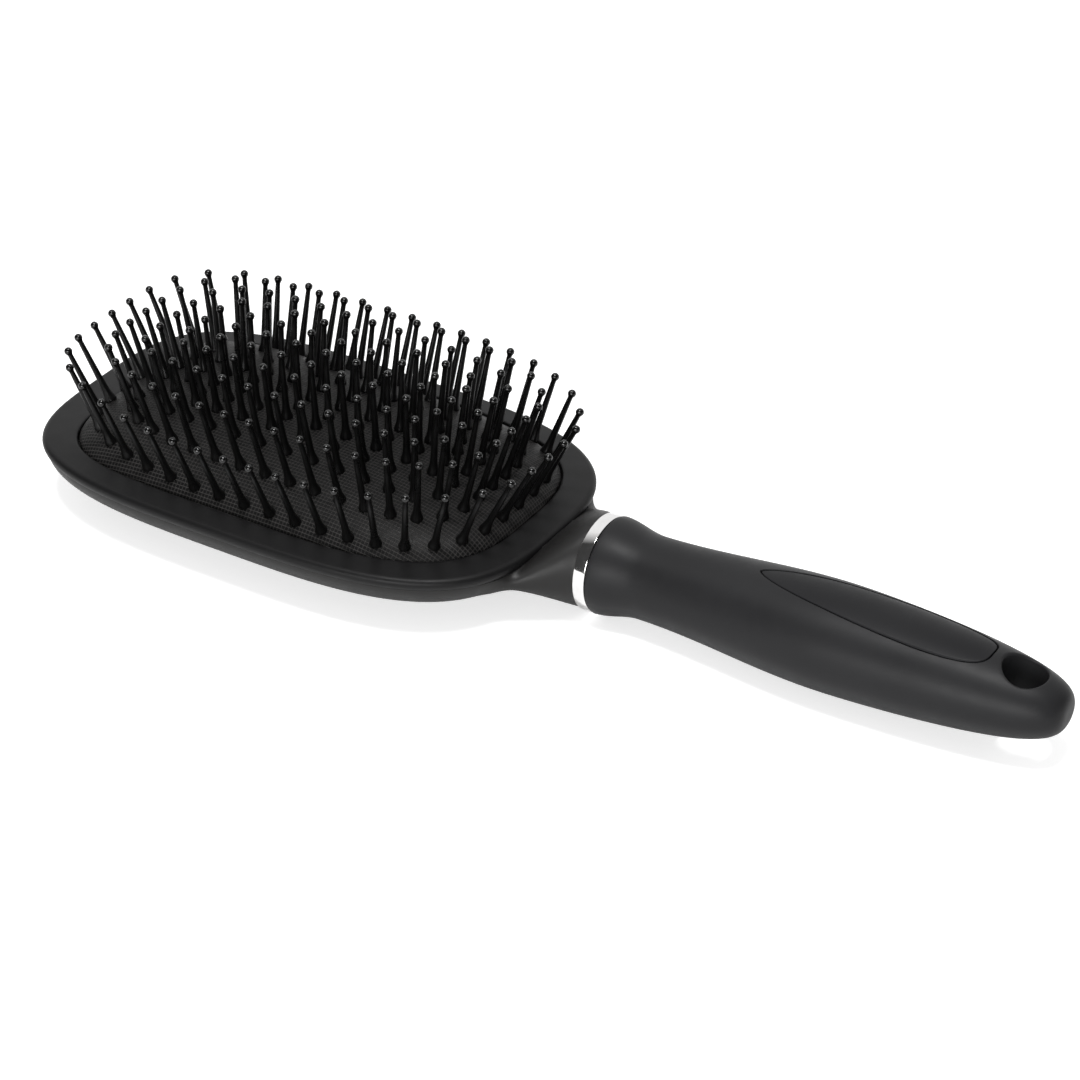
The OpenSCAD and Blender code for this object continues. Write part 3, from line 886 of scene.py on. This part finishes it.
def recess_cutter():
    """The inlay's recess, with a rounded upper edge."""
    points = teardrop(GROOVE)
    rings = [np.array([(x, y, INLAY_LOW[2] - SEAT_GAP) for x, y in points])]
    for grow, rise in GROOVE_EDGE:
        points = teardrop(GROOVE + grow)
        rings.append(np.array([(x, y, handle_top(min(x, HANDLE_END), y) + rise) for x, y in points]))
    rings.append(np.array([(x, y, AXIS + 2 * BELLY_RADIUS) for x, y in points]))
    return loft("recess", rings)


def hole_cutter():
    """The hanging hole, with rounded edges above and below."""
    flare, turn, run_out = 0.6, 75, 1.2
    count, round_steps = 144, 6
    furthest = HANDLE_LENGTH * 0.995
    angle = np.arange(count) / count * 2 * np.pi
    steps = []
    for k in range(round_steps + 1):
        a = math.radians(turn * k / round_steps)
        steps.append((HOLE_RADIUS + flare * (1 - math.cos(a)), -flare * (1 - math.sin(a))))
    steps.append((steps[-1][0] + run_out, steps[-1][1] + run_out * math.tan(math.radians(90 - turn))))
    rings = []
    for side in (-1, 1):
        for r, rise in (steps[::-1] if side < 0 else steps):
            ring = []
            for a in angle:
                x, y = HOLE_X + r * math.cos(a), r * math.sin(a)
                near = min(x - RING_END, furthest)
                top = handle_top(RING_END + near, y)
                z = top + rise if side > 0 else 2 * handle_middle(near) - top - rise
                ring.append((x, y, z))
            rings.append(np.array(ring))
    low, high = rings[0].copy(), rings[-1].copy()
    low[:, 2] = AXIS - 2 * BELLY_RADIUS
    high[:, 2] = AXIS + 2 * BELLY_RADIUS
    return loft("hole", [low] + rings + [high])


def make_inlay():
    """The inlay, which follows the handle's top just below it, with a softened edge."""
    columns, rows = 150, 40
    sink, lift = 0.12, 0.1
    soft, soft_share = 0.3, 0.7
    xs = [mix(INLAY_START, INLAY_END, math.sin(math.pi / 2 * k / columns) ** 2) for k in range(columns + 1)]
    verts, faces = [], []
    index = {}
    for side in (1, -1):
        for k, x in enumerate(xs):
            share = (x - INLAY_START) / (INLAY_END - INLAY_START)
            wide = INLAY_WIDTH / 2 * inlay_share(share)
            for j in range(rows + 1):
                v = math.sin(math.pi / 2 * (2 * j / rows - 1))
                y = wide * v
                if side > 0:
                    edge = max(0.0, soft - wide * (1 - abs(v))) / soft
                    drop = sink + soft * soft_share * (1 - math.sqrt(max(0.0, 1 - edge ** 2)))
                    z = handle_top(x, y) - drop
                else:
                    z = handle_top(x, y) - INLAY_DEPTH + lift
                index[(side, k, j)] = len(verts)
                verts.append((x, y, z))
    for k in range(columns):
        for j in range(rows):
            corners = ((k, j), (k + 1, j), (k + 1, j + 1), (k, j + 1))
            faces.append(tuple(index[(1, *corner)] for corner in corners))
            faces.append(tuple(index[(-1, *corner)] for corner in reversed(corners)))
        for j, flip in ((0, False), (rows, True)):
            quad = (index[(1, k, j)], index[(-1, k, j)], index[(-1, k + 1, j)], index[(1, k + 1, j)])
            faces.append(quad[::-1] if flip else quad)
    piece = new_object("thumb_inlay_skin", verts, faces)
    weld = bmesh.new()
    weld.from_mesh(piece.data)
    bmesh.ops.remove_doubles(weld, verts=weld.verts, dist=0.001)
    bmesh.ops.recalc_face_normals(weld, faces=weld.faces)
    weld.to_mesh(piece.data)
    weld.free()
    place(piece, "body", "inlay", ["thumb_inlay"], sharp=50)


# Floor and light
FLOOR_GREY = 0.82
# how strongly the floor glows to the camera, and how strongly in reflections
FLOOR_SEEN, FLOOR_REFLECTED = 0.55, 0.2
ROOM_FILL = 0.45
ROOM_BRIGHT_SIDE = (-0.35, 0.75, 0.56)


def make_floor():
    """A white floor with a soft shadow, which is darker in reflections than to the camera."""
    bpy.ops.mesh.primitive_plane_add(size=8, location=(0, 0, 0))
    floor = bpy.context.object
    floor.name = "floor"
    material = bpy.data.materials.new("floor")
    material.use_nodes = True
    tree = material.node_tree
    shader = tree.nodes["Principled BSDF"]
    shader.inputs["Base Color"].default_value = (FLOOR_GREY, FLOOR_GREY, FLOOR_GREY, 1)
    shader.inputs["Roughness"].default_value = 0.9
    shader.inputs["Specular IOR Level"].default_value = 0.0
    path = tree.nodes.new("ShaderNodeLightPath")
    reflected = tree.nodes.new("ShaderNodeMath")
    reflected.operation = "MULTIPLY"
    reflected.inputs[1].default_value = FLOOR_REFLECTED
    tree.links.new(path.outputs["Is Glossy Ray"], reflected.inputs[0])
    glow = tree.nodes.new("ShaderNodeMath")
    glow.operation = "MULTIPLY_ADD"
    glow.inputs[1].default_value = FLOOR_SEEN
    tree.links.new(path.outputs["Is Camera Ray"], glow.inputs[0])
    tree.links.new(reflected.outputs[0], glow.inputs[2])
    shader.inputs["Emission Color"].default_value = (1, 1, 1, 1)
    tree.links.new(glow.outputs[0], shader.inputs["Emission Strength"])
    floor.data.materials.append(material)


def area_light(name, at, aim, wide, high, watts):
    """Rectangular light, in metres and watts."""
    data = bpy.data.lights.new(name, "AREA")
    data.energy = watts
    data.shape = "RECTANGLE"
    data.size = wide
    data.size_y = high
    light = bpy.data.objects.new(name, data)
    bpy.context.scene.collection.objects.link(light)
    light.location = at
    light.rotation_euler = (Vector(aim) - Vector(at)).to_track_quat("-Z", "Y").to_euler()


def make_world():
    world = bpy.data.worlds.new("world")
    bpy.context.scene.world = world
    world.use_nodes = True
    tree = world.node_tree
    background = tree.nodes["Background"]
    path = tree.nodes.new("ShaderNodeLightPath")
    coords = tree.nodes.new("ShaderNodeTexCoord")
    # in reflections the room is dark except behind the brush
    behind = tree.nodes.new("ShaderNodeVectorMath")
    behind.operation = "DOT_PRODUCT"
    tree.links.new(coords.outputs["Generated"], behind.inputs[0])
    behind.inputs[1].default_value = ROOM_BRIGHT_SIDE
    glossy = ramp(tree, behind.outputs["Value"], [(0.35, 0.05), (0.75, 1.0)])
    camera = tree.nodes.new("ShaderNodeMath")
    camera.operation = "MAXIMUM"
    tree.links.new(path.outputs["Is Camera Ray"], camera.inputs[0])
    tree.links.new(path.outputs["Is Transmission Ray"], camera.inputs[1])
    diffuse = tree.nodes.new("ShaderNodeMix")
    diffuse.inputs[2].default_value = ROOM_FILL
    tree.links.new(path.outputs["Is Glossy Ray"], diffuse.inputs[0])
    tree.links.new(glossy, diffuse.inputs[3])
    final = tree.nodes.new("ShaderNodeMix")
    final.inputs[3].default_value = 1.0
    tree.links.new(camera.outputs[0], final.inputs[0])
    tree.links.new(diffuse.outputs[0], final.inputs[2])
    background.inputs["Color"].default_value = (1, 1, 1, 1)
    tree.links.new(final.outputs[0], background.inputs["Strength"])


def make_light():
    area_light("key_left", (-0.05, -0.25, 1.15), (0.02, 0, 0), 0.16, 0.16, 5)
    area_light("key_right", (0.22, -0.2, 1.15), (0.02, 0, 0), 0.16, 0.16, 5)
    area_light("front_box", (0.25, -1.2, 0.35), (0.05, 0, 0.02), 1.0, 0.5, 13)


make_rim()
make_shell()
make_cushion()
for body, members in frame["record"]["behaviour"]["bodies"].items():
    for name in members:
        if name.startswith("pins_"):
            make_pins(name, body)
make_ring()
make_grip()
make_inlay()
core = frame["nodes"]["handle_core"]
core.data.materials.clear()
core.data.materials.append(MATERIALS["core"])
make_floor()
make_light()
make_world()
bpy.context.scene.view_settings.view_transform = "Standard"
